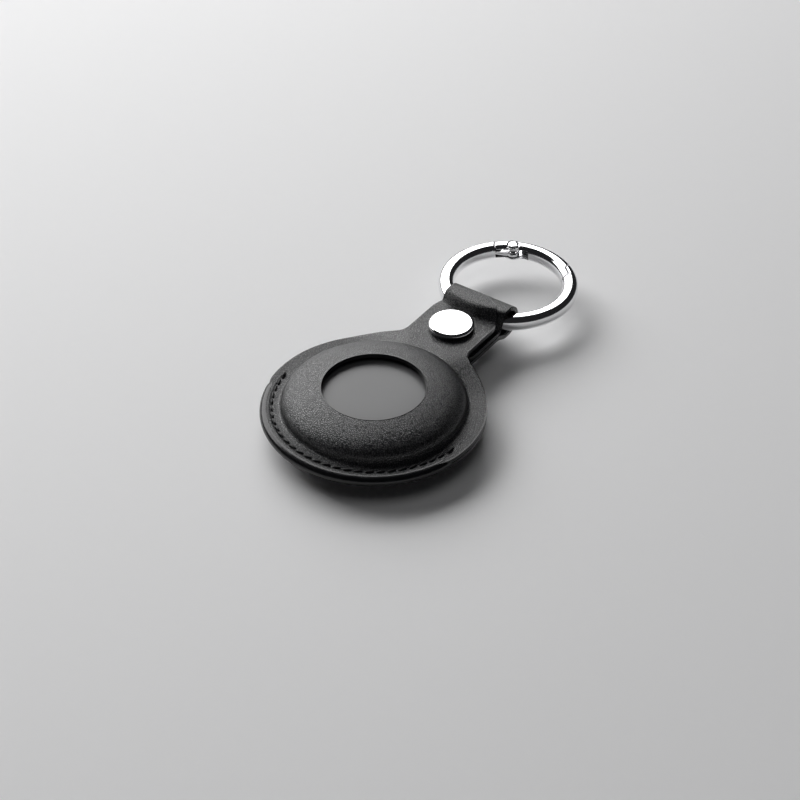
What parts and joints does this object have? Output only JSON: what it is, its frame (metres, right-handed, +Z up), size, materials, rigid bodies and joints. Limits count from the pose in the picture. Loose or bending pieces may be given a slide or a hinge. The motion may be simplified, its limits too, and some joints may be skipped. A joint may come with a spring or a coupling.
{
  "type": "tracker tag holder",
  "caption": "Moulded leather holder with a round window for a tracker tag, a flap that snaps shut over the neck, a strap loop and a chrome spring gate ring.",
  "frame": {"origin": "On the tag's axis, on the flat underside of the moulded back, which is what the holder lies on", "axes": "+Z up through the window in the front, +Y along the neck towards the ring, +X to the right seen from above with the neck pointing away"},
  "size_m": [0.045, 0.0872, 0.0105],
  "materials": {
    "leather": "black grained leather with a soft sheen and painted edges",
    "chrome": "polished chrome plate",
    "steel": "plain nickel-plated steel",
    "spring_wire": "drawn spring wire",
    "lid_steel": "steel with a dark grey satin coat, without a mark",
    "shell_plastic": "white gloss plastic",
    "frame_plastic": "moulded grey plastic",
    "board": "green solder mask",
    "coil_copper": "enamelled copper wire, wound",
    "contact_metal": "gold-flashed spring metal"
  },
  "bodies": {
    "holder": {"rear_panel": "leather", "front_panel": "leather", "snap_rivet": "chrome", "snap_stud": "chrome"},
    "flap": {"front_flap": "leather", "snap_cap": "chrome", "snap_socket": "steel", "snap_spring": "spring_wire"},
    "tag": {"tag_shell": "shell_plastic", "tag_frame": "frame_plastic", "coin_cell": "steel", "circuit_board": "board", "speaker_magnet": "steel", "voice_coil": "coil_copper", "contact_negative": "contact_metal", "contact_positive_1": "contact_metal", "contact_positive_2": "contact_metal"},
    "lid": {"tag_lid": "lid_steel"},
    "ring": {"ring_body": "chrome", "gate_pin": "chrome", "gate_spring": "spring_wire"},
    "gate": {"ring_gate": "chrome"}
  },
  "joints": [
    {"name": "flap_lift", "type": "hinge", "parent": "holder", "child": "flap", "pos_m": [0, -0.002, 0.0102], "axis": [1, 0, 0], "range_deg": [0, 70], "stiffness_Nm_per_rad": 0.002, "deforming": ["snap_spring"]},
    {"name": "tag_turn", "type": "hinge", "parent": "holder", "child": "tag", "pos_m": [0, 0, 0.0051], "axis": [0, 0, 1], "continuous": true},
    {"name": "lid_turn", "type": "hinge", "parent": "tag", "child": "lid", "pos_m": [0, 0, 0.0091], "axis": [0, 0, 1], "range_deg": [0, 20]},
    {"name": "ring_swing", "type": "hinge", "parent": "holder", "child": "ring", "pos_m": [0, 0.03773, 0.00592], "axis": [1, 0, 0], "range_deg": [-20, 20]},
    {"name": "gate_open", "type": "hinge", "parent": "ring", "child": "gate", "pos_m": [-0.00598, 0.06119, 0.00592], "axis": [0, 0, -1], "range_deg": [0, 28], "stiffness_Nm_per_rad": 0.01, "springref_deg": -28.65, "deforming": ["gate_spring"]}
  ]
}
